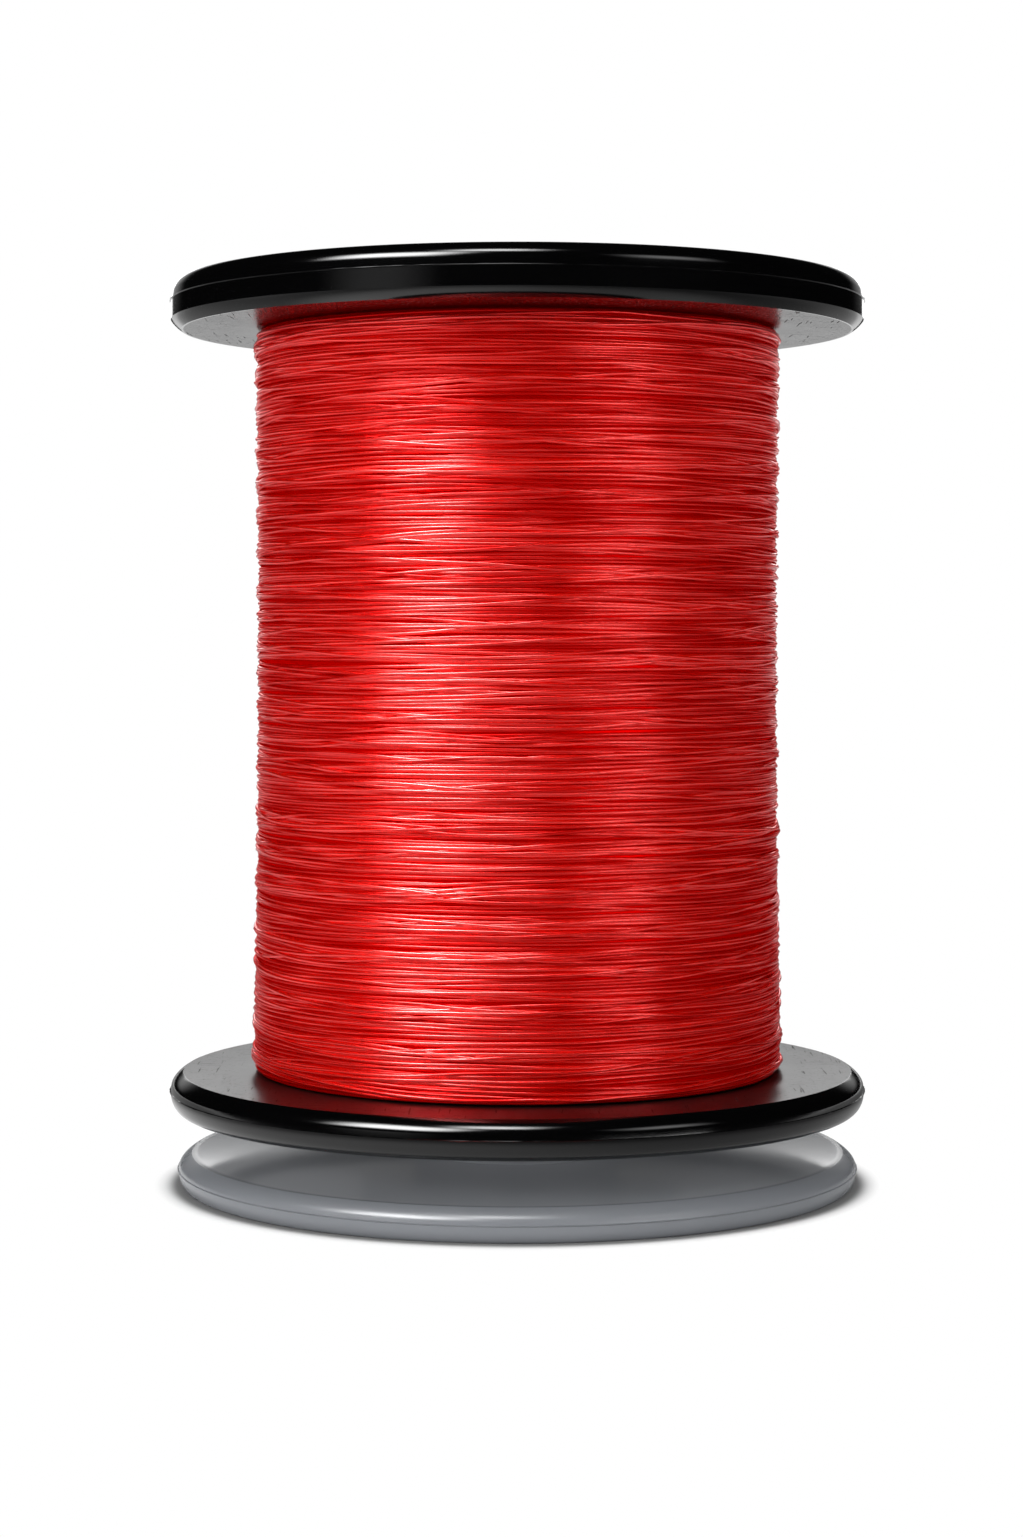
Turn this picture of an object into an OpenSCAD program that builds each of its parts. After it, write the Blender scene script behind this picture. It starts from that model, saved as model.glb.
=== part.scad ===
// Spool of machine thread with a snap base.
// Two flanges plug into a core tube and hold the winding between them. A foot disc hangs
// below the lower flange on a latch post, which slides in the flange's guide sleeve: pulled
// out it leaves a gap for the thread's end, and pushed in it pinches that end.
// Millimetres, +Z up, origin on the spool's axis at the plane that it stands on.
// The solids show the snap base pulled out.

/* [Heights] */
// Thickness of the foot disc
base_t = 2; // [1.8:0.1:3]
// Gap between the foot disc and the lower flange with the snap base pulled out
open_gap = 2.7; // [1.6:0.1:3.6]
// Thickness of the lower flange
lower_t = 2.4; // [2.3:0.1:3.6]
// Height of the winding space between the flanges
winding_h = 46.7; // [36:0.1:60]
// Thickness of the upper flange
upper_t = 3.2; // [2.8:0.1:4.4]

/* [Diameters] */
// Foot disc, without its moulding fin
base_d = 42.8; // [41:0.2:48]
// Both flanges, without their moulding fins
flange_d = 43.8; // [42:0.2:50]
// Winding, where it meets the flanges
winding_d = 33.3; // [31:0.1:37]
// How much thinner the winding is in the middle than at its ends
winding_waist = 0.34; // [0:0.02:0.8]
// Outside of the core tube
core_d = 24; // [22:0.25:25]
// Outside of the latch post
post_d = 13; // [12:0.25:14]
// Bore for the machine's spool pin
pin_bore_d = 8; // [6:0.1:8.4]

/* [Rims] */
// How far the moulding fins stand out from the rims
fin_out = 0.12; // [0.04:0.02:0.2]
// Width of a moulding fin at its root
fin_w = 0.16; // [0.1:0.02:0.24]
// Height of the fin above the underside of the foot disc
base_fin_h = 1.05; // [0.7:0.05:1.2]
// Height of the fin above the underside of the lower flange
lower_fin_h = 1.25; // [0.9:0.05:1.5]
// Height of the fin above the underside of the upper flange
upper_fin_h = 1.8; // [1.2:0.05:2.1]
// Width of the round between the foot disc's rim and its top face
base_shoulder_w = 0.8; // [0.4:0.05:1.5]
// Width of the round between the foot disc's rim and the plane it stands on
base_corner_w = 0.5; // [0.2:0.05:0.9]
// Width of the round above the lower flange's fin
lower_shoulder_w = 0.8; // [0.4:0.05:1.4]
// Width of the round below the lower flange's fin
lower_corner_w = 0.85; // [0.4:0.05:1.4]
// Width of the round above the upper flange's fin
upper_shoulder_w = 1.2; // [0.6:0.05:1.8]
// Width of the round at the upper flange's underside
upper_corner_w = 0.65; // [0.3:0.05:1]
// Height of the round at the upper flange's underside
upper_corner_h = 0.6; // [0.3:0.05:0.8]

/* [Core and plugs] */
// Wall of the core tube
core_wall = 1.5; // [1.2:0.1:1.8]
// Wall of the rings that plug into the core tube
plug_wall = 1.25; // [0.9:0.05:1.5]
// How far each plug reaches into the core tube
plug_depth = 8; // [5:0.5:11]
// Wall of the boss round the spool pin's bore in the upper flange
boss_wall = 1.5; // [1.2:0.1:1.6]
// Thickness of the ribs between the plugs and what they surround
rib_t = 1.1; // [0.8:0.1:1.6]
// Number of ribs in each plug
rib_count = 6; // [3:1:8]
// Lead-in chamfer at the mouths of the spool pin's bore
mouth_chamfer = 0.5; // [0.2:0.1:0.8]

/* [Snap base] */
// Wall of the guide sleeve
guide_wall = 1.2; // [1:0.1:1.3]
// Height of the guide sleeve above the lower flange
guide_h = 5.4; // [4:0.2:7]
// Wall of the latch post's spring fingers
finger_wall = 1.1; // [0.8:0.1:1.4]
// Number of spring fingers
finger_count = 4; // [4:2:6]
// Width of the slots between the fingers
slot_w = 1.6; // [1.2:0.1:2]
// Height of the unsplit foot of the latch post above the foot disc
post_foot_h = 1.9; // [1.4:0.1:2.4]
// How far the barbs stand out from the fingers
barb_out = 0.85; // [0.5:0.05:1.1]
// Height of the barbs' square part
barb_h = 0.6; // [0.4:0.1:1]
// Height of the taper above the barbs
barb_taper_h = 1.2; // [0.8:0.1:1.6]
// Width of the collar that the post is fixed by, outside the post
collar_w = 1.7; // [1:0.1:2.2]
// Thickness of that collar
collar_t = 0.9; // [0.6:0.1:1.1]
// Depth of the ring-shaped recess in the lower flange's underside
tail_recess_depth = 0.8; // [0.4:0.1:1]
// Inner diameter of that recess
tail_recess_in = 20; // [19:0.5:24]
// Outer diameter of that recess
tail_recess_out = 38; // [32:0.5:39]

/* [Labels] */
// Depth of the seats that the labels lie in
seat_depth = 0.3; // [0.2:0.05:0.4]
// Thickness of the labels
label_t = 0.15; // [0.1:0.01:0.18]
// Diameter of the upper label's seat
upper_seat_d = 34.4; // [30:0.2:37]
// Diameter of the island inside the upper label's seat
upper_island_d = 12; // [11.6:0.2:14]
// Diameter of the lower label's seat
lower_seat_d = 34.8; // [30:0.2:37]

/* [Winding] */
// Number of turns in the outer layer
turn_count = 24; // [20:1:24]
// Free space between neighbouring turns
turn_gap = 0.46; // [0.42:0.01:0.6]
// Bend radius where the outer layer dives into the layers below
dive_bend_r = 1; // [0.9:0.05:1.4]
// Angle round the spool at which the outer layer starts and ends
dive_angle = 105; // [0:5:355]

/* [Clearances] */
// Radial clearance between the latch post and the guide sleeve
guide_clearance = 0.08; // [0.03:0.01:0.1]
// Height between the barbs and the guide sleeve at the stop
stop_clearance = 0.05; // [0.02:0.01:0.1]
// Side clearance of the key ribs in the slots between the fingers
key_clearance = 0.15; // [0.1:0.05:0.3]
// Height left below the key ribs when the gap is fully shut
key_end_clearance = 0.7; // [0.3:0.1:1]
// Radial clearance of pushed and glued fits
fit_clearance = 0.05; // [0.02:0.01:0.1]
// Clearance round the labels
label_clearance = 0.3; // [0.1:0.05:0.5]
// Clearance between the winding and the flanges
winding_clearance = 0.1; // [0.05:0.05:0.3]
// Least clearance between the outer layer and the layers below
layer_clearance = 0.05; // [0.03:0.01:0.15]

/* [Hidden] */
$fn = 48;

// Steps in each round of a rim
round_steps = 5;
// How far a rim leans in where its upper round starts, as an angle
rim_lean = 7;
// Least straight wall between a rim's round and its fin
rim_land = 0.05;
// Overlap of united shapes and overshoot of cuts
eps = 0.5;

// Levels
lower_z = base_t + open_gap;
winding_z = lower_z + lower_t;
upper_z = winding_z + winding_h;
top_z = upper_z + upper_t;

// Radii
core_r = core_d / 2;
plug_r = core_r - core_wall - fit_clearance;
post_r = post_d / 2;
pin_r = pin_bore_d / 2;
finger_in_r = post_r - finger_wall;
guide_in_r = post_r + guide_clearance;
guide_r = guide_in_r + guide_wall;
guide_top_z = winding_z + guide_h;
boss_r = pin_r + boss_wall;
collar_r = post_r + collar_w;

// Snap base levels
collar_z = seat_depth;
slot_z = base_t + post_foot_h;
key_z = slot_z + open_gap + key_end_clearance;
barb_z = guide_top_z + stop_clearance;
post_top_z = barb_z + barb_h + barb_taper_h;

// Outer layer of turns: a tube of six sides, flat where it lies on the layers below
tube_sides = 6;
rings_per_turn = 24;
turn_pitch = (winding_h - 2 * winding_clearance + turn_gap) / (turn_count + 1);
tube_d = turn_pitch - turn_gap;
tube_r = tube_d / 2;
tube_flat = tube_r * cos(180 / tube_sides);
first_turn_z = winding_z + winding_clearance + tube_r;
turns_h = turn_count * turn_pitch;
end_turn_r = winding_d / 2 - tube_flat;
waist_r = end_turn_r - winding_waist / 2;
layers_r = (waist_r - tube_flat) * cos(180 / rings_per_turn) - layer_clearance;
ring_total = turn_count * rings_per_turn;
bend_steps = 4;
dive_floor_r = end_turn_r - dive_bend_r - tube_d;
pocket_clearance = 0.1;

// Colours
black = [0.05, 0.05, 0.055];
grey = [0.42, 0.43, 0.45];
natural = [0.85, 0.84, 0.8];
thread_red = [0.78, 0.03, 0.03];
layer_red = [0.5, 0.02, 0.02];
paper = [0.93, 0.92, 0.89];

// Part of an ellipse as points, from one angle to another
function ellipse_arc(centre, w, h, from, to) = [
    for (k = [0:round_steps])
        let (a = from + (to - from) * k / round_steps)
        centre + [w * cos(a), h * sin(a)]
];

// Round that climbs h and goes in by w from a point, leaning in from its start
function shoulder(from, w, h) =
    let (
        end = 2 * atan2(w, h) - rim_lean,
        r = h / (sin(end) - sin(rim_lean)),
        centre = from - r * [cos(rim_lean), sin(rim_lean)]
    )
    ellipse_arc(centre, r, r, rim_lean, end);

// Solid disc of thickness t from z = 0, with a rounded rim and a fin round its widest part
module rimmed_disc(r, t, fin_h, shoulder_w, corner_w, corner_h) {
    shoulder_h = t - fin_h - fin_w / 2 - rim_land;
    low_h = min(corner_h, fin_h - fin_w / 2 - rim_land);
    outline = concat(
        [[0, 0]],
        ellipse_arc([r - corner_w, low_h], corner_w, low_h, -90, 0),
        [[r, fin_h - fin_w / 2], [r + fin_out, fin_h], [r, fin_h + fin_w / 2]],
        shoulder([r, t - shoulder_h], shoulder_w, shoulder_h),
        [[0, t]]
    );
    rotate_extrude()
        polygon(outline);
}

// Tube from z = 0 up
module ring(out_r, in_r, h) {
    difference() {
        cylinder(r = out_r, h = h);
        translate([0, 0, -eps])
            cylinder(r = in_r, h = h + 2 * eps);
    }
}

// Ribs that join two rings, from z = 0 up
module spokes(in_r, out_r, h) {
    for (k = [0:rib_count - 1])
        rotate(k * 360 / rib_count)
            translate([in_r, -rib_t / 2, 0])
                cube([out_r - in_r, rib_t, h]);
}

// Cutter for the mouth of the spool pin's bore, wide end at z = 0, pointing up
module mouth_cone() {
    translate([0, 0, -eps])
        cylinder(r = pin_r + mouth_chamfer, h = eps);
    cylinder(r1 = pin_r + mouth_chamfer, r2 = pin_r, h = mouth_chamfer);
}

// Foot disc, with a label's seat below and a stepped hole for the latch post's collar
module base_disc() {
    color(grey)
        difference() {
            rimmed_disc(base_d / 2, base_t, base_fin_h, base_shoulder_w, base_corner_w,
                        base_fin_h);
            translate([0, 0, -eps])
                cylinder(r = post_r + fit_clearance, h = base_t + 2 * eps);
            translate([0, 0, -eps])
                cylinder(d = lower_seat_d, h = seat_depth + eps);
            translate([0, 0, collar_z - eps])
                cylinder(r = collar_r + fit_clearance, h = collar_t + eps);
        }
}

// Hollow post with spring fingers. Their barbs stop the foot disc under the guide sleeve's top
module latch_post() {
    color(grey)
        difference() {
            union() {
                translate([0, 0, collar_z])
                    cylinder(r = collar_r, h = collar_t);
                translate([0, 0, collar_z])
                    cylinder(r = post_r, h = post_top_z - collar_z);
                translate([0, 0, barb_z])
                    cylinder(r = post_r + barb_out, h = barb_h);
                translate([0, 0, barb_z + barb_h])
                    cylinder(r1 = post_r + barb_out, r2 = post_r, h = barb_taper_h);
            }
            translate([0, 0, collar_z - eps])
                cylinder(r = pin_r, h = post_top_z);
            translate([0, 0, collar_z])
                mouth_cone();
            translate([0, 0, slot_z])
                cylinder(r = finger_in_r, h = post_top_z);
            for (k = [0:finger_count - 1])
                rotate(k * 360 / finger_count)
                    translate([0, -slot_w / 2, slot_z])
                        cube([post_r + barb_out + eps, slot_w, post_top_z]);
        }
}

// Lower flange, its guide sleeve with two key ribs, and its plug for the core tube
module lower_flange() {
    key_w = slot_w - 2 * key_clearance;
    key_in_r = finger_in_r + key_clearance;
    color(black)
        difference() {
            union() {
                difference() {
                    union() {
                        translate([0, 0, lower_z])
                            rimmed_disc(flange_d / 2, lower_t, lower_fin_h,
                                        lower_shoulder_w, lower_corner_w, lower_fin_h);
                        translate([0, 0, winding_z - eps])
                            cylinder(r = guide_r, h = guide_h + eps);
                    }
                    translate([0, 0, lower_z - eps])
                        cylinder(r = guide_in_r, h = guide_top_z);
                }
                translate([0, 0, winding_z - eps])
                    ring(plug_r, plug_r - plug_wall, plug_depth + eps);
                translate([0, 0, winding_z - eps])
                    spokes(guide_r - guide_wall / 2, plug_r - plug_wall / 2,
                           guide_h - stop_clearance);
                for (k = [0:1])
                    rotate(k * 180)
                        translate([key_in_r, -key_w / 2, key_z])
                            cube([guide_r - guide_wall / 2 - key_in_r, key_w,
                                  guide_top_z - key_z]);
            }
            translate([0, 0, lower_z - eps])
                ring(tail_recess_out / 2, tail_recess_in / 2, tail_recess_depth + eps);
        }
}

// Tube that the thread is wound on
module core_tube() {
    color(natural)
        translate([0, 0, winding_z])
            ring(core_r, core_r - core_wall, winding_h);
}

// Upper flange, its plug for the core tube and the boss round the spool pin's bore
module upper_flange() {
    plug_z = upper_z - plug_depth;
    color(black)
        difference() {
            union() {
                translate([0, 0, upper_z])
                    rimmed_disc(flange_d / 2, upper_t, upper_fin_h, upper_shoulder_w,
                                upper_corner_w, upper_corner_h);
                translate([0, 0, plug_z])
                    ring(plug_r, plug_r - plug_wall, plug_depth + eps);
                translate([0, 0, plug_z])
                    cylinder(r = boss_r, h = plug_depth + eps);
                translate([0, 0, plug_z])
                    spokes(boss_r - boss_wall / 2, plug_r - plug_wall / 2,
                           plug_depth + eps);
            }
            translate([0, 0, plug_z - eps])
                cylinder(r = pin_r, h = top_z);
            translate([0, 0, plug_z])
                mouth_cone();
            translate([0, 0, top_z])
                mirror([0, 0, 1])
                    mouth_cone();
            translate([0, 0, top_z - seat_depth])
                ring(upper_seat_d / 2, upper_island_d / 2, seat_depth + eps);
        }
}

// One point of the outer layer's path: turns climb from 0 to turn_count
function turn_point(turn) =
    let (
        bow = 1 - pow(2 * turn / turn_count - 1, 2),
        r = end_turn_r - bow * (end_turn_r - waist_r),
        a = dive_angle + 360 * turn
    )
    [r * cos(a), r * sin(a), first_turn_z + turns_h * turn / turn_count];

// Points of a dive from the winding's surface into its pocket. Side is -1 at the first turn,
// where the path starts, and 1 at the last one
function dive_points(side) =
    let (
        a = dive_angle,
        out = [cos(a), sin(a), 0],
        along = side * [-sin(a), cos(a), 0],
        z = side < 0 ? first_turn_z : first_turn_z + turns_h,
        hub = (end_turn_r - dive_bend_r) * out + [0, 0, z]
    )
    concat(
        [for (k = [1:bend_steps])
            let (b = 90 * k / bend_steps)
            hub + dive_bend_r * (cos(b) * out + sin(b) * along)],
        [hub + dive_bend_r * along - tube_d * out]
    );

function reversed(points) = [for (k = [len(points) - 1:-1:0]) points[k]];

tube_path = concat(
    reversed(dive_points(-1)),
    [for (k = [0:ring_total]) turn_point(k / rings_per_turn)],
    dive_points(1)
);
path_count = len(tube_path);

function unit(v) = v / norm(v);

// Direction of the path at point k, along its chord at the ends
function heading(k) =
    unit(tube_path[min(k + 1, path_count - 1)] - tube_path[max(k - 1, 0)]);

// Six corners round point k. Two of the tube's flats face along the spool's radius
function tube_ring(k) =
    let (
        t = heading(k),
        level = unit([t.x, t.y, 0]),
        up = unit([0, 0, 1] - t * t.z),
        side = cross(t, up)
    )
    [for (s = [0:tube_sides - 1])
        let (a = 360 * s / tube_sides + 90)
        tube_path[k] + tube_r * (cos(a) * side + sin(a) * up)];

// Least distance between the tube's surface and its neighbouring turns, from path points
near_ring = rings_per_turn / 2;
far_ring = rings_per_turn * 3 / 2;
least_gap = min([
    for (i = [0:path_count - 1 - near_ring])
        for (j = [i + near_ring:min(i + far_ring, path_count - 1)])
            norm(tube_path[i] - tube_path[j])
]) - tube_d;
echo(least_gap_between_turns = least_gap);

// Outer turns of the thread, one unbroken tube that starts and ends in the layers below
module thread_outer_layer() {
    corners = [for (k = [0:path_count - 1]) each tube_ring(k)];
    last = (path_count - 1) * tube_sides;
    sides = [
        for (k = [0:path_count - 2])
            for (s = [0:tube_sides - 1])
                let (
                    a = k * tube_sides + s,
                    b = k * tube_sides + (s + 1) % tube_sides
                )
                each [[a, b, a + tube_sides], [b, b + tube_sides, a + tube_sides]]
    ];
    caps = [
        for (s = [1:tube_sides - 2])
            each [[0, s + 1, s], [last, last + s, last + s + 1]]
    ];
    color(thread_red)
        polyhedron(points = corners, faces = concat(sides, caps));
}

// Pocket that one end of the outer layer dives into
module dive_pocket(side) {
    half_w = tube_r + pocket_clearance;
    turn_z = side < 0 ? first_turn_z : first_turn_z + turns_h;
    floor_r = dive_floor_r - layer_clearance;
    reach = dive_bend_r + half_w;
    rotate(dive_angle)
        translate([floor_r, side < 0 ? -reach : -half_w, turn_z - half_w])
            cube([tube_d + dive_bend_r + eps, reach + half_w, 2 * half_w]);
}

// All the layers below the outer one
module thread_inner_layers() {
    color(layer_red)
        difference() {
            translate([0, 0, winding_z + winding_clearance])
                ring(layers_r, core_r + fit_clearance, winding_h - 2 * winding_clearance);
            dive_pocket(-1);
            dive_pocket(1);
        }
}

// Paper ring in its seat on the upper flange
module upper_label() {
    color(paper)
        translate([0, 0, top_z - seat_depth])
            ring(upper_seat_d / 2 - label_clearance,
                 upper_island_d / 2 + label_clearance, label_t);
}

// Paper ring in its seat under the foot disc
module lower_label() {
    color(paper)
        translate([0, 0, seat_depth - label_t])
            ring(lower_seat_d / 2 - label_clearance, collar_r + label_clearance, label_t);
}

base_disc();
latch_post();
lower_flange();
core_tube();
upper_flange();
thread_inner_layers();
thread_outer_layer();
upper_label();
lower_label();
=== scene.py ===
"""Spool of red machine thread with a snap base: the finish of its mouldings and of its winding.

Metres, +Z up, origin on the spool's axis at the plane that it stands on. The mouldings are
spun from their outlines, and the winding is laid turn by turn.
"""

import math

import bmesh
import bpy
import numpy as np
from mathutils import Matrix, Vector


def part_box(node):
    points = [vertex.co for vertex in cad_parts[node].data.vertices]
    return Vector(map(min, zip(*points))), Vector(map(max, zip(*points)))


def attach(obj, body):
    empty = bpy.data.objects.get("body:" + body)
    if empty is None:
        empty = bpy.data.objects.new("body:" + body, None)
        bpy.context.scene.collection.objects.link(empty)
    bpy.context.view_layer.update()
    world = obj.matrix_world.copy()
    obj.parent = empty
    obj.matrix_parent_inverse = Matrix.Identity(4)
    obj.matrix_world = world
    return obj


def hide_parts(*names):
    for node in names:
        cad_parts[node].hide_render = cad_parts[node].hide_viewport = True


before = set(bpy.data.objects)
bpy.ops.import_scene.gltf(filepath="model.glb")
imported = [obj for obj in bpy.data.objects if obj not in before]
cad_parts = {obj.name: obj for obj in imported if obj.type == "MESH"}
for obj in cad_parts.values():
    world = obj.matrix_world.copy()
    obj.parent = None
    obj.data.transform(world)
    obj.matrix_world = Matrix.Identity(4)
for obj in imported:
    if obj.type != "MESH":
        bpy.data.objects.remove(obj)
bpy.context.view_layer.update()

MM = 0.001
SCENE = bpy.context.scene

# ---------------------------------------------------------------- sizes read from the frame

BASE_LOW, BASE_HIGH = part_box("base_disc")
LOWER_LOW, LOWER_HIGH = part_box("lower_flange")
UPPER_LOW, UPPER_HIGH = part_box("upper_flange")
POST_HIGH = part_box("latch_post")[1]
CORE_LOW, CORE_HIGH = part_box("core_tube")
LAYERS_LOW, LAYERS_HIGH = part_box("thread_inner_layers")
TURNS_LOW, TURNS_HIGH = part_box("thread_outer_layer")

FIN_OUT = 0.12 * MM
BASE_R = BASE_HIGH.x - FIN_OUT
FLANGE_R = UPPER_HIGH.x - FIN_OUT
WINDING_Z = CORE_LOW.z
UPPER_Z = CORE_HIGH.z
CORE_R = CORE_HIGH.x
WINDING_R = TURNS_HIGH.x
POST_R = 6.5 * MM
COLLAR_R = POST_HIGH.x
SEAT_DEPTH = 0.3 * MM
PLUG_IN, PLUG_OUT = 9.2 * MM, 10.45 * MM

# How far the fine winding stands out at the flanges, is waisted, and narrows towards the top
CREST_OUT = 0.16 * MM
WAIST = 0.22 * MM
TAPER = 0.06 * MM


# ---------------------------------------------------------------- camera

def make_camera():
    """Level camera in front of the spool, a little under the middle of its height."""
    view_width_px, view_height_px = 1023, 1537
    focal_px = 3102
    horizon_px = 627.6
    axis_px = 517.3
    data = bpy.data.cameras.new("camera")
    data.sensor_width = 36
    data.lens = focal_px / view_height_px * data.sensor_width
    data.shift_x = (view_width_px / 2 - axis_px) / view_height_px
    data.shift_y = (horizon_px - view_height_px / 2) / view_height_px
    data.clip_start = 0.01
    data.clip_end = 20
    camera = bpy.data.objects.new("camera", data)
    camera.location = (0, -197.3 * MM, 35.03 * MM)
    camera.rotation_euler = (math.radians(90), 0, 0)
    SCENE.collection.objects.link(camera)
    SCENE.camera = camera


# ---------------------------------------------------------------- shader writing

class Value:
    """A number that a shader works out, held as the output socket that gives it."""

    def __init__(self, finish, socket):
        self.finish = finish
        self.socket = socket

    def _with(self, operation, first, second):
        return self.finish.node("ShaderNodeMath", {"operation": operation}, {0: first, 1: second})

    def __add__(self, other):
        return self._with("ADD", self, other)

    def __radd__(self, other):
        return self._with("ADD", other, self)

    def __sub__(self, other):
        return self._with("SUBTRACT", self, other)

    def __rsub__(self, other):
        return self._with("SUBTRACT", other, self)

    def __mul__(self, other):
        return self._with("MULTIPLY", self, other)

    def __rmul__(self, other):
        return self._with("MULTIPLY", other, self)

    def __truediv__(self, other):
        return self._with("DIVIDE", self, other)

    def __pow__(self, other):
        return self._with("POWER", self, other)


class Finish:
    """Node tree of one material, or of the world, while it is written."""

    def __init__(self, tree):
        self.tree = tree
        tree.nodes.clear()

    def node(self, kind, settings=None, sockets=None, output=0):
        """Adds a node, sets it up, fills its sockets and returns one of its outputs."""
        made = self.tree.nodes.new(kind)
        for name, value in (settings or {}).items():
            setattr(made, name, value)
        for name, value in (sockets or {}).items():
            if isinstance(value, Value):
                self.tree.links.new(value.socket, made.inputs[name])
            else:
                made.inputs[name].default_value = value
        return Value(self, made.outputs[output]) if made.outputs else None

    def place(self, axis=None):
        """Place on the piece in metres: the vector, or its X, Y or Z."""
        vector = self.node("ShaderNodeTexCoord", output="Object")
        if axis is None:
            return vector
        return self.node("ShaderNodeSeparateXYZ", {}, {0: vector}, output=axis)

    def from_axis(self):
        """Distance from the spool's axis."""
        x, y = self.place("X"), self.place("Y")
        return (x * x + y * y) ** 0.5

    def scaled(self, x, y, z):
        """Place on the piece, stretched along each axis."""
        return self.node("ShaderNodeMapping", {}, {"Vector": self.place(), "Scale": (x, y, z)})

    def noise(self, per_metre, detail=2.0, rough=0.5, vector=None):
        """Cloudy noise from 0 to 1."""
        return self.node("ShaderNodeTexNoise", {}, {
            "Vector": vector or self.place(), "Scale": per_metre,
            "Detail": detail, "Roughness": rough})

    def step(self, value, low, high, to_low=0.0, to_high=1.0):
        """Smooth step of value, from to_low at low to to_high at high."""
        return self.node("ShaderNodeMapRange", {"interpolation_type": "SMOOTHSTEP"}, {
            "Value": value, "From Min": low, "From Max": high,
            "To Min": to_low, "To Max": to_high})

    def blend(self, share, first, second):
        """Colour between two others."""
        return self.node("ShaderNodeMix", {"data_type": "RGBA"}, {0: share, 6: first, 7: second},
                         output=2)

    def bump(self, height, depth):
        """Normal bent by a height from 0 to 1 that stands for a depth in metres."""
        return self.node("ShaderNodeBump", {}, {"Height": height, "Distance": depth})


def surface(name, write):
    """Material whose node tree is one Principled shader fed by what write returns."""
    material = bpy.data.materials.new(name)
    material.use_nodes = True
    finish = Finish(material.node_tree)
    shader = finish.node("ShaderNodeBsdfPrincipled", {}, write(finish))
    finish.node("ShaderNodeOutputMaterial", {}, {"Surface": shader})
    return material


def rgb(red, green, blue):
    return (red, green, blue, 1.0)


# ---------------------------------------------------------------- finishes

def black_plastic(finish):
    """Glossy black moulding. Its flat faces are dulled by fine scuffs and hairline scratches."""
    r = finish.from_axis()
    face_r = FLANGE_R - 0.82 * MM
    on_face = finish.step(r, face_r + 0.1 * MM, face_r)
    bare = finish.step(r, WINDING_R + 0.6 * MM, WINDING_R + 1.6 * MM) * on_face
    on_lower = finish.step(finish.place("Z"), WINDING_Z + 0.4 * MM, WINDING_Z + 0.2 * MM)
    clouds = finish.noise(260, 4, 0.6)
    scuffs = finish.step(finish.noise(3400, 5, 0.7), 0.56, 0.66)
    hairs = (finish.step(finish.noise(1.0, 2, 0.5, finish.scaled(5200, 260, 5200)), 0.66, 0.7)
             + finish.step(finish.noise(1.0, 2, 0.5, finish.scaled(380, 6400, 5200)), 0.67, 0.71))
    rough = (0.1 + on_face * (0.1 + on_lower * 0.08 + clouds * 0.06)
             + bare * (scuffs * 0.1 + hairs * 0.2))
    return {"Base Color": rgb(0.0008, 0.0008, 0.0009), "Roughness": rough, "IOR": 1.52,
            "Normal": finish.bump(finish.noise(9000, 3), 0.0012 * MM)}


def grey_plastic(finish):
    """Glossy mid-grey moulding with slight clouding, smoother on its flat face.

    Inside the rim the colour is painted paler, as painted light standing in for light that reaches
    the flat face and the post in the shade under the lower flange.
    """
    clouds = finish.noise(180, 3)
    on_face = finish.step(finish.from_axis(), BASE_R - 0.85 * MM, BASE_R - 1.3 * MM)
    colour = finish.blend(clouds, rgb(0.146, 0.153, 0.166), rgb(0.156, 0.164, 0.177))
    # Painted light: a paler colour inside the rim, on the flat face and the post, which lie in shade
    # under the lower flange
    colour = finish.blend(on_face, colour, rgb(0.25, 0.26, 0.277))
    rough = 0.25 + clouds * 0.02 - on_face * 0.16
    return {"Base Color": colour, "Roughness": rough, "IOR": 1.5,
            "Normal": finish.bump(finish.noise(7000, 2), 0.001 * MM)}


def natural_plastic(finish):
    """Satin natural plastic of the core tube."""
    clouds = finish.noise(300, 4)
    colour = finish.blend(clouds, rgb(0.78, 0.77, 0.72), rgb(0.84, 0.83, 0.79))
    return {"Base Color": colour, "Roughness": 0.38 + clouds * 0.12, "IOR": 1.5,
            "Normal": finish.bump(finish.noise(5000, 2), 0.003 * MM)}


def label_paper(finish):
    """Smooth coated paper, blank."""
    fibres = finish.noise(1.0, 5, 0.65, finish.scaled(2600, 5200, 2600))
    clouds = finish.noise(220, 3)
    colour = finish.blend(clouds, rgb(0.86, 0.85, 0.81), rgb(0.91, 0.90, 0.87))
    return {"Base Color": colour, "Roughness": 0.5 + fibres * 0.15,
            "Normal": finish.bump(fibres, 0.012 * MM)}


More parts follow.
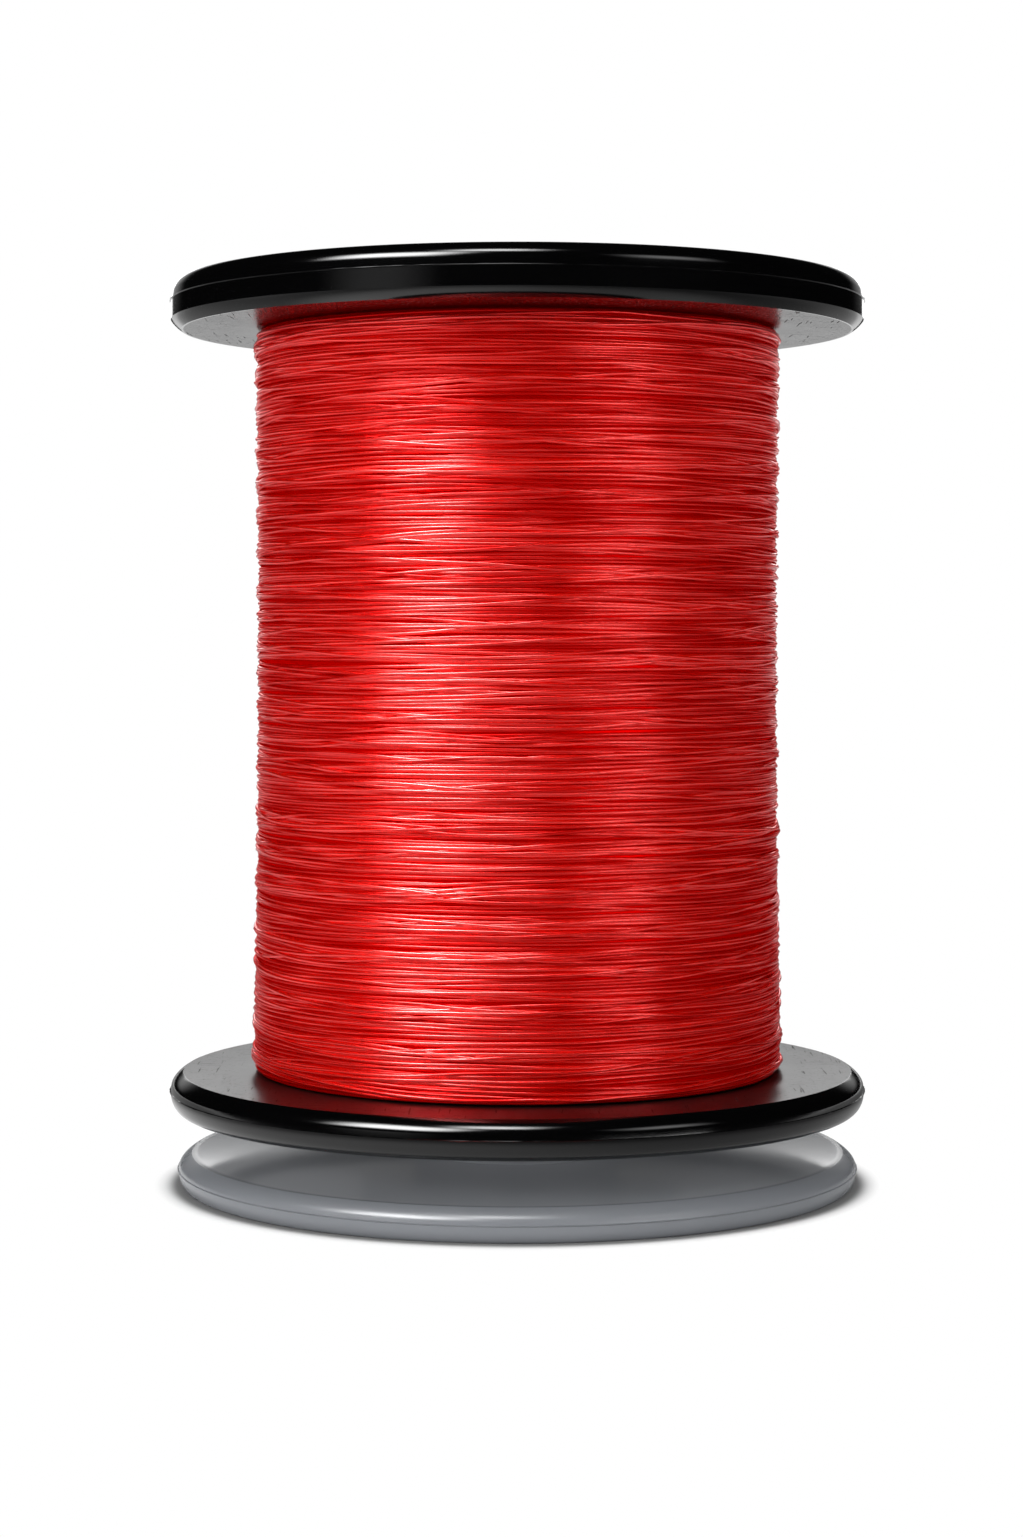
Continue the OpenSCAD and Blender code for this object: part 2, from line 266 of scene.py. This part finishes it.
def thread_red(finish):
    """Silky red filament thread, whose gloss changes from turn to turn.

    Threads near the winding's skin are glossier than those below it. Their colour is painted too:
    brighter where the gloss is high, as a painted sheen, and darker below the skin, as painted shade
    between the crests.
    """
    turns = finish.noise(1.0, 2, 0.6, finish.scaled(150, 150, 3300))
    drift = finish.noise(1.0, 2, 0.5, finish.scaled(60, 60, 700))
    sheen = finish.step(turns * 0.75 + drift * 0.25, 0.38, 0.58)
    middle_z, half = (WINDING_Z + UPPER_Z) / 2, (UPPER_Z - WINDING_Z) / 2
    up = (finish.place("Z") - middle_z) / half
    skin = WINDING_R + CREST_OUT - (1 - up * up) * WAIST - up * TAPER
    # Painted shade: below the winding's skin the colour darkens, as shade between the crests
    near_skin = finish.step(finish.from_axis() - skin, -0.32 * MM, -0.07 * MM)
    gloss_and_painted_sheen = near_skin * (0.2 + sheen * 0.8)
    # Painted sheen: the colour is lighter where the coat's gloss is high
    colour = finish.blend(gloss_and_painted_sheen, rgb(0.5, 0.0, 0.0), rgb(1.0, 0.007, 0.0015))
    lay = finish.noise(1.0, 2, 0.5, finish.scaled(700, 700, 3400))
    return {"Base Color": colour, "Roughness": 0.26, "Metallic": 0.72, "IOR": 1.5,
            "Specular IOR Level": 0.0, "Specular Tint": rgb(1.0, 0.1, 0.08),
            "Coat Weight": gloss_and_painted_sheen, "Coat Roughness": 0.16, "Coat IOR": 1.9,
            "Normal": finish.bump(lay, 0.006 * MM)}


# ---------------------------------------------------------------- spun mouldings

def bowed(start, end, start_normal, end_normal, steps=10):
    """Points on a round from start to end, square to a normal at each, given as its angle."""
    turns = [math.radians(angle) for angle in (start_normal, end_normal)]
    normals = [Vector((math.cos(angle), math.sin(angle))) for angle in turns]
    start, end = Vector(start), Vector(end)
    reach = normals[0].dot(start), normals[1].dot(end)
    corner = Vector((reach[0] * normals[1].y - reach[1] * normals[0].y,
                     reach[1] * normals[0].x - reach[0] * normals[1].x))
    corner /= math.sin(turns[1] - turns[0])
    pull = math.cos((turns[1] - turns[0]) / 2)
    points = []
    for k in range(steps + 1):
        t = k / steps
        shares = (1 - t) ** 2, 2 * pull * t * (1 - t), t ** 2
        point = shares[0] * start + shares[1] * corner + shares[2] * end
        points.append(tuple(point / sum(shares)))
    return points


def shoulder(radius, low_z, top_z, straight, width, crease):
    """Drafted wall of a straight height, then a round to the disc's top face.

    The wall leans in, as a mould's draft does. The round has turned by crease where it meets
    the face, at a softened edge of its own.
    """
    lean = 7
    soft = 0.1 * MM
    turn = math.radians(crease)
    foot = (radius - straight * math.tan(math.radians(lean)), low_z + straight)
    edge = (radius - width + soft * math.cos(turn), top_z - soft + soft * math.sin(turn))
    return ([(radius, low_z)] + bowed(foot, edge, lean, crease, 12)
            + bowed(edge, (radius - width, top_z), crease, 90, 3)[1:])


def rim(radius, low_z, thick, fin_z, corner, round_up):
    """Outline of a disc's rim from its underside to its top: corner, wall, fin and shoulder.

    The corner is the width and height of the round below, and its first and last normal. The
    round_up is the straight height, width and crease of the shoulder.
    """
    half_fin = 0.045 * MM
    corner_w, corner_h, first, last = corner
    return (
        bowed((radius - corner_w, low_z), (radius, low_z + corner_h), first, last)
        + [(radius, low_z + fin_z - half_fin),
           (radius + 0.7 * FIN_OUT, low_z + fin_z - 0.4 * half_fin),
           (radius + FIN_OUT, low_z + fin_z),
           (radius + 0.7 * FIN_OUT, low_z + fin_z + 0.4 * half_fin)]
        + shoulder(radius, low_z + fin_z + half_fin, low_z + thick, *round_up)
    )


SPIN_STEPS = 384

# Webs in both plugs: how many, their width, and how far a rib runs into what it joins
WEBS = 6
WEB_W = 1.1 * MM
ROOT = 0.3 * MM


def spun(bm, outline):
    """Spins a closed outline of (radius, height) points once round the axis."""
    corners = [bm.verts.new((r, 0, z)) for r, z in outline]
    edges = [bm.edges.new((a, b)) for a, b in zip(corners, corners[1:] + corners[:1])]
    bmesh.ops.spin(bm, geom=corners + edges, cent=(0, 0, 0), axis=(0, 0, 1),
                   angle=2 * math.pi, steps=SPIN_STEPS, use_merge=True)


def rib(bm, angle, inner_r, outer_r, width, low_z, high_z):
    """Closed bar between two radii, turned to an angle."""
    size = Matrix.Diagonal((outer_r - inner_r, width, high_z - low_z, 1))
    middle = Matrix.Translation(((inner_r + outer_r) / 2, 0, (low_z + high_z) / 2))
    bmesh.ops.create_cube(bm, size=1, matrix=Matrix.Rotation(angle, 4, "Z") @ middle @ size)


def ragged_fin(bm, radius, rng):
    """Makes the fin round a rim a little uneven, as a worn mould leaves it."""
    waves = [(rng.integers(20, 180), rng.uniform(0, 2 * math.pi)) for _ in range(14)]
    least, usual, most = 0.35, 0.66, 1.0
    for vert in bm.verts:
        r = math.hypot(vert.co.x, vert.co.y)
        if r < radius + 0.2 * FIN_OUT:
            continue
        angle = math.atan2(vert.co.y, vert.co.x)
        wave = sum(math.sin(n * angle + phase) for n, phase in waves) / 4
        new_r = radius + (r - radius) * min(max(usual + 0.16 * wave, least), most)
        vert.co.x *= new_r / r
        vert.co.y *= new_r / r


def creased(bm):
    """Merges doubles, turns the faces outwards and keeps only the real corners sharp."""
    sharp_from = math.radians(28)
    bmesh.ops.remove_doubles(bm, verts=bm.verts, dist=1e-7)
    bmesh.ops.recalc_face_normals(bm, faces=bm.faces)
    for edge in bm.edges:
        edge.smooth = edge.calc_face_angle(0) < sharp_from
    for face in bm.faces:
        face.smooth = True


def piece(name, bm, material, body, slot, *nodes):
    """Turns a bmesh into a piece that rides on a body and stands for CAD nodes."""
    mesh = bpy.data.meshes.new(name)
    bm.to_mesh(mesh)
    bm.free()
    return dress(bpy.data.objects.new(name, mesh), material, body, slot, *nodes)


def dress(made, material, body, slot, *nodes):
    """Gives a new object its material, body and the CAD nodes that it stands for. The slot is not
    used.
    """
    SCENE.collection.objects.link(made)
    made.data.materials.clear()
    made.data.materials.append(material)
    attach(made, body)
    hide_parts(*nodes)
    return made


def make_base_disc(material, rng):
    """Foot disc with a seat for its label and a stepped hole for the post's collar."""
    seat_r = 17.4 * MM
    hole_r = POST_R + 0.05 * MM
    step_r = COLLAR_R + 0.05 * MM
    step_z = SEAT_DEPTH + 0.9 * MM
    fin_z = 1.05 * MM
    corner = 0.5 * MM, 0.9 * MM, -90, 0
    round_up = 0.1 * MM, 0.85 * MM, 62
    top = BASE_HIGH.z
    bm = bmesh.new()
    spun(bm, [(hole_r, step_z), (step_r, step_z), (step_r, SEAT_DEPTH),
              (seat_r, SEAT_DEPTH), (seat_r, 0)]
         + rim(BASE_R, 0, top, fin_z, corner, round_up) + [(hole_r, top)])
    creased(bm)
    ragged_fin(bm, BASE_R, rng)
    piece("foot_disc", bm, material, "snap_base", "grey_plastic", "base_disc")


def make_lower_flange(material, rng):
    """Lower flange with its guide sleeve, its plug and the recess under it."""
    sleeve_in, sleeve_out = 6.58 * MM, 7.78 * MM
    sleeve_top = WINDING_Z + 5.4 * MM
    recess_in, recess_out = 10 * MM, 19 * MM
    key_in, key_w, key_low = 5.55 * MM, 1.3 * MM, 7.3 * MM
    low = LOWER_LOW.z
    recess_z = low + 0.8 * MM
    fin_z = 1.25 * MM
    corner = 0.85 * MM, 1.12 * MM, -90, 0
    round_up = 0.26 * MM, 0.8 * MM, 60
    bm = bmesh.new()
    spun(bm, [(sleeve_in, low), (recess_in, low), (recess_in, recess_z),
              (recess_out, recess_z), (recess_out, low)]
         + rim(FLANGE_R, low, WINDING_Z - low, fin_z, corner, round_up)
         + [(PLUG_OUT, WINDING_Z), (PLUG_OUT, LOWER_HIGH.z), (PLUG_IN, LOWER_HIGH.z),
            (PLUG_IN, WINDING_Z), (sleeve_out, WINDING_Z), (sleeve_out, sleeve_top),
            (sleeve_in, sleeve_top)])
    for k in range(WEBS):
        rib(bm, 2 * math.pi * k / WEBS, sleeve_out - ROOT, PLUG_IN + ROOT, WEB_W,
            WINDING_Z - ROOT, sleeve_top - 0.5 * MM)
    for k in range(2):
        rib(bm, k * math.pi, key_in, sleeve_in + ROOT, key_w, key_low, sleeve_top)
    creased(bm)
    ragged_fin(bm, FLANGE_R, rng)
    piece("lower_flange_moulding", bm, material, "spool", "black_plastic", "lower_flange")


def make_upper_flange(material, rng):
    """Upper flange with its plug, and the boss round the bore for the spool pin."""
    bore, boss = 4 * MM, 5.5 * MM
    chamfer = 0.5 * MM
    seat_in, seat_out = 6 * MM, 17.2 * MM
    top, low = UPPER_HIGH.z, UPPER_LOW.z
    seat_z = top - SEAT_DEPTH
    fin_z = 1.8 * MM
    corner = 0.65 * MM, 0.6 * MM, -57, -33
    round_up = 0.4 * MM, 1.15 * MM, 80
    bm = bmesh.new()
    spun(bm, [(bore + chamfer, low), (boss, low), (boss, UPPER_Z), (PLUG_IN, UPPER_Z),
              (PLUG_IN, low), (PLUG_OUT, low), (PLUG_OUT, UPPER_Z)]
         + rim(FLANGE_R, UPPER_Z, top - UPPER_Z, fin_z, corner, round_up)
         + [(seat_out, top), (seat_out, seat_z), (seat_in, seat_z), (seat_in, top),
            (bore + chamfer, top), (bore, top - chamfer), (bore, low + chamfer)])
    for k in range(WEBS):
        rib(bm, 2 * math.pi * k / WEBS, boss - ROOT, PLUG_IN + ROOT, WEB_W, low,
            UPPER_Z + ROOT)
    creased(bm)
    ragged_fin(bm, FLANGE_R, rng)
    piece("upper_flange_moulding", bm, material, "spool", "black_plastic", "upper_flange")


# ---------------------------------------------------------------- winding

THREAD_D = 0.25 * MM

# The heap of thread is kept as a height by column, round the axis, and by row, along it
COLUMNS = 144
ROW = 0.02 * MM

# Rise at which a thread lies in the middle of the relief, and half the depth of the relief
MIDDLE_RISE = 2.2 * THREAD_D
RELIEF = 0.14 * MM


def smoothed(values, reach):
    """Values averaged under a bell whose spread is reach samples, closed on themselves."""
    count = len(values)
    steps = np.fft.rfftfreq(count) * 2 * math.pi
    return np.fft.irfft(np.fft.rfft(values) * np.exp(-(steps * reach) ** 2 / 2), count)


def wander(rng, count, reach):
    """Smooth random walk-about of unit spread."""
    line = smoothed(rng.normal(size=count), reach)
    return line / line.std()


def profile(z):
    """Radius of the winding's crests at a height: waisted, and rounded in at the flanges."""
    low, high = TURNS_LOW.z, TURNS_HIGH.z
    up = 2 * (z - low) / (high - low) - 1
    end = np.maximum(np.minimum(z - low, high - z), 0)
    drop, reach = 0.15 * MM, 0.25 * MM
    return (WINDING_R + CREST_OUT - WAIST * (1 - up ** 2) - TAPER * up
            - drop * np.exp(-end / reach))


def pressed(rise):
    """How far below the crests the middle of a thread ends up that was laid at a rise."""
    return (THREAD_D / 2 + 0.6 * RELIEF
            - RELIEF * np.tanh((rise - MIDDLE_RISE) / (1.7 * THREAD_D)))


class Heap:
    """Height of the thread laid so far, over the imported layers, by column and row."""

    def __init__(self):
        self.low = TURNS_LOW.z + THREAD_D / 2
        self.high = TURNS_HIGH.z - THREAD_D / 2
        self.margin = 20
        rows = round((self.high - self.low) / ROW) + 2 * self.margin
        self.height = np.zeros((COLUMNS, rows))
        half = int(THREAD_D / 2 / ROW)
        self.foot = np.arange(-half, half + 1)
        self.round = np.sqrt((THREAD_D / 2) ** 2 - (self.foot * ROW) ** 2)

    def under(self, column, z):
        """Columns and rows that a thread whose middle is at z lies on."""
        row = np.rint((z - self.low) / ROW).astype(int) + self.margin
        rows = np.clip(row[..., None] + self.foot, 0, self.height.shape[1] - 1)
        return np.broadcast_to(column[..., None], rows.shape), rows

    def rest(self, column, z):
        """Height at which the middle of a thread comes to rest."""
        return (self.height[self.under(column, z)] + self.round).max(axis=-1)

    def lay(self, rng, turns, climb, pull, roam):
        """Lays one pass of thread from flange to flange and returns its points.

        It goes up where climb is above 0. The thread slides up to pull sideways into the
        hollows that it finds, and roams about its even path: each entry of roam is a reach in
        columns and a size.
        """
        count = turns * COLUMNS
        column = np.arange(count) % COLUMNS
        share = np.arange(count) / count
        z = self.low + (self.high - self.low) * (share if climb > 0 else 1 - share)
        z += sum(size * wander(rng, count, reach) for reach, size in roam)
        z = self.high - np.abs(self.high - self.low - np.abs(z - self.low))
        slide = np.linspace(-pull, pull, 9)
        tries = np.clip(z[:, None] + slide, self.low, self.high)
        rises = self.rest(np.repeat(column[:, None], len(slide), axis=1), tries)
        weight = np.exp(-rises / (0.025 * MM))
        z += smoothed((weight * slide).sum(axis=1) / weight.sum(axis=1), 2.5)
        z = np.clip(z, self.low, self.high)
        rise = smoothed(self.rest(column, z), 1.3)
        spots = self.under(column, z)
        np.maximum.at(self.height, spots, rise[:, None] + self.round)
        r = profile(z) - pressed(rise)
        angle = 2 * math.pi * column / COLUMNS
        return np.stack([r * np.cos(angle), r * np.sin(angle), z], axis=1)


def thread_run(name, points, rng, material, *nodes):
    """Lays a closed tube of thread along points."""
    count = len(points)
    curve = bpy.data.curves.new(name, "CURVE")
    curve.dimensions = "3D"
    curve.twist_mode = "Z_UP"
    curve.bevel_depth = THREAD_D / 2
    curve.bevel_resolution = 1
    curve.use_fill_caps = True
    spline = curve.splines.new("POLY")
    spline.points.add(count - 1)
    spline.points.foreach_set("co", np.c_[points, np.ones(count)].astype(np.float32).ravel())
    thick = 1 + 0.05 * wander(rng, count, 4)
    spline.points.foreach_set("radius", thick.astype(np.float32))
    path = bpy.data.objects.new(name + "_path", curve)
    SCENE.collection.objects.link(path)
    bpy.context.view_layer.update()
    mesh = bpy.data.meshes.new_from_object(path.evaluated_get(bpy.context.evaluated_depsgraph_get()))
    bpy.data.objects.remove(path)
    mesh.name = name
    mesh.shade_smooth()
    dress(bpy.data.objects.new(name, mesh), material, "spool", "thread_red", *nodes)


def make_winding(material):
    """Packed layers under one close pass of thread and ten open passes that cross it."""
    rng = np.random.default_rng(57)
    levels = np.linspace(LAYERS_LOW.z, LAYERS_HIGH.z, 120)
    bm = bmesh.new()
    spun(bm, [(CORE_R + 0.05 * MM, LAYERS_LOW.z)]
         + [(profile(z) - pressed(0), z) for z in levels]
         + [(CORE_R + 0.05 * MM, LAYERS_HIGH.z)])
    creased(bm)
    piece("packed_layers", bm, material, "spool", "thread_red", "thread_inner_layers")
    heap = Heap()
    close_roam = [(5, 0.04 * MM)]
    open_roam = [(4, 0.05 * MM), (14, 0.15 * MM), (60, 0.3 * MM)]
    passes = [heap.lay(rng, 170, 1, 0.1 * MM, close_roam)]
    for k in range(10):
        turns = int(rng.integers(18, 26))
        climb = -1 if k % 2 == 0 else 1
        passes.append(heap.lay(rng, turns, climb, 0.16 * MM, open_roam))
    thread = np.concatenate(passes)
    runs = 4
    cuts = np.linspace(0, len(thread) - 1, runs + 1).astype(int)
    for k in range(runs):
        thread_run(f"thread_run_{k + 1}", thread[cuts[k]:cuts[k + 1] + 1], rng, material,
                   "thread_outer_layer")


# ---------------------------------------------------------------- studio

def make_floor():
    """White floor that keeps the spool's shadow, with a painted contact shadow round the foot disc,
    and is plain white further off.

    Gloss mirrors it as a glowing white card whose brightness by place is painted light and shade:
    bright close by on the left, dim in front, bright again on both sides, and behind the spool only
    from some way off.
    """
    bm = bmesh.new()
    bmesh.ops.create_grid(bm, x_segments=1, y_segments=1, size=3)
    mesh = bpy.data.meshes.new("floor")
    bm.to_mesh(mesh)
    bm.free()
    floor = bpy.data.objects.new("floor", mesh)
    SCENE.collection.objects.link(floor)
    material = bpy.data.materials.new("floor_white")
    material.use_nodes = True
    finish = Finish(material.node_tree)
    seen = finish.node("ShaderNodeLightPath", output="Is Camera Ray")
    mirrored = finish.node("ShaderNodeLightPath", output="Is Glossy Ray")
    r, x, y = finish.from_axis(), finish.place("X"), finish.place("Y")
    far = finish.step(r, BASE_R + 0.1 * MM, BASE_R + 1.6 * MM)
    # Painted light and shade for gloss: the glow that reflections show is set by place, brighter on
    # the left and at the sides, dimmer in front, to the near right and close behind
    side, ahead = x / r, 0 - y / r
    left = finish.step(side, -0.1, -0.65)
    right = finish.step(side, 0.15, 0.6) * finish.step(ahead, 0.05, 0.5)
    behind = finish.step(ahead, 0.1, -0.4)
    wide = 0.55 + (left + right) * 0.45
    rear = finish.step(r, 150 * MM, 300 * MM, 0.3, 0.5)
    rear = rear + finish.step(r, 280 * MM, 460 * MM) * 0.5
    wide = wide + behind * (rear - wide)
    close = finish.step(x, -24 * MM, 20 * MM, 1.0, 0.45)
    close = close * finish.step(r, 30 * MM, 55 * MM, 1, 0.3)
    glow = close + finish.step(r, 60 * MM, 130 * MM) * (wide - close)
    # Painted contact shadow: the floor's colour is darkened in a ring round the foot disc
    painted_contact_shadow = finish.step(r, BASE_R + 1.0 * MM, BASE_R)
    floor_colour_with_painted_shadow = finish.blend(painted_contact_shadow, rgb(0.8, 0.8, 0.8), rgb(0.25, 0.25, 0.25))
    lit = finish.node("ShaderNodeBsdfDiffuse", {}, {"Color": floor_colour_with_painted_shadow})
    plain = finish.node("ShaderNodeEmission", {}, {
        "Color": rgb(1, 1, 1), "Strength": seen + mirrored * glow})
    both = finish.node("ShaderNodeMixShader", {}, {
        0: (seen + mirrored) * far, 1: lit, 2: plain})
    finish.node("ShaderNodeOutputMaterial", {}, {"Surface": both})
    mesh.materials.append(material)


def make_world():
    """White backdrop low behind the spool, brighter on its left, in a dark room."""
    world = bpy.data.worlds.new("studio")
    SCENE.world = world
    world.use_nodes = True
    finish = Finish(world.node_tree)
    direction = finish.node("ShaderNodeTexCoord", output="Generated")
    x, y, z = (finish.node("ShaderNodeSeparateXYZ", {}, {0: direction}, output=axis)
               for axis in "XYZ")
    seen = finish.node("ShaderNodeLightPath", output="Is Camera Ray")
    spread = finish.node("ShaderNodeLightPath", output="Is Diffuse Ray")
    wall = finish.step(y, 0.80, 0.95) * finish.step(z, 0.08, 0.18) * finish.step(z, 0.36, 0.22)
    mirrored = 0.004 + wall * (0.5 - 0.1 * x)
    soft = finish.step(z, 0.55, 0.12, 0.15, 0.7)
    room = mirrored + spread * (soft - mirrored)
    strength = room + seen * (1 - room)
    sky = finish.node("ShaderNodeBackground", {}, {"Color": rgb(1, 1, 1), "Strength": strength})
    finish.node("ShaderNodeOutputWorld", {}, {"Surface": sky})


def softbox(name, azimuth, elevation, distance, width, height, watts, feather):
    """Rectangular lamp aimed at the middle of the spool, fading over feather of its half sides.

    Azimuth 0 is in front of the spool and 90 on its right.
    """
    aim = Vector((0, 0, (BASE_LOW.z + UPPER_HIGH.z) / 2))
    a, e = math.radians(azimuth), math.radians(elevation)
    away = Vector((math.sin(a) * math.cos(e), -math.cos(a) * math.cos(e), math.sin(e)))
    data = bpy.data.lights.new(name, "AREA")
    data.shape = "RECTANGLE"
    data.size = width
    data.size_y = height
    data.energy = watts
    data.use_nodes = True
    finish = Finish(data.node_tree)
    across = finish.node("ShaderNodeNewGeometry", output="Parametric")
    glow = 1.0
    for axis in "XY":
        side = finish.node("ShaderNodeSeparateXYZ", {}, {0: across}, output=axis)
        to_edge = 1 - 2 * finish.node("ShaderNodeMath", {"operation": "ABSOLUTE"}, {0: side - 0.5})
        glow = finish.step(to_edge, 0, feather) * glow
    lit = finish.node("ShaderNodeEmission", {}, {"Color": rgb(1, 1, 1), "Strength": glow})
    finish.node("ShaderNodeOutputLight", {}, {"Surface": lit})
    lamp = bpy.data.objects.new(name, data)
    lamp.location = aim + away * distance
    lamp.rotation_euler = away.to_track_quat("Z", "Y").to_euler()
    SCENE.collection.objects.link(lamp)
    return lamp


# ---------------------------------------------------------------- the whole

make_camera()
make_world()
make_floor()
# Azimuth, elevation, distance, width, height, watts and feather. The two keys give gloss, and
# the two soft lamps give the light that the colours show by.
softbox("key_left", -49, 47, 0.5, 0.44, 0.32, 10.5, 0.8).visible_diffuse = False
softbox("key_top", -14, 69, 0.5, 0.26, 0.2, 2.6, 0.9).visible_diffuse = False
softbox("key_soft", -49, 12, 0.5, 0.44, 0.32, 7.3, 0.8).visible_glossy = False
softbox("fill_soft", 50, 12, 0.5, 0.44, 0.32, 3.2, 0.8).visible_glossy = False
softbox("fill_right", 54, 37, 0.5, 0.34, 0.24, 0.62, 0.9)
softbox("low_card", 43, -1.6, 0.45, 0.36, 0.03, 0.26, 0.5)
softbox("low_glow", -44, 8, 0.5, 0.4, 0.16, 0.08, 0.9)
softbox("back_glow", 180, 11, 0.5, 0.4, 0.06, 0.25, 0.4).visible_camera = False
over = softbox("over_fill", 0, 88, 0.5, 0.4, 0.4, 1.25, 0.1)
over.visible_glossy = False
over.data.use_shadow = False

FINISHES = {write.__name__: surface(write.__name__ + "_finish", write)
            for write in (black_plastic, grey_plastic, natural_plastic, label_paper, thread_red)}
fins = np.random.default_rng(11)
make_base_disc(FINISHES["grey_plastic"], fins)
make_lower_flange(FINISHES["black_plastic"], fins)
make_upper_flange(FINISHES["black_plastic"], fins)
make_winding(FINISHES["thread_red"])
for node, finish_name in (("latch_post", "grey_plastic"), ("core_tube", "natural_plastic"),
                          ("upper_label", "label_paper"), ("lower_label", "label_paper")):
    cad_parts[node].data.materials[0] = FINISHES[finish_name]

SCENE.view_settings.view_transform = "Standard"
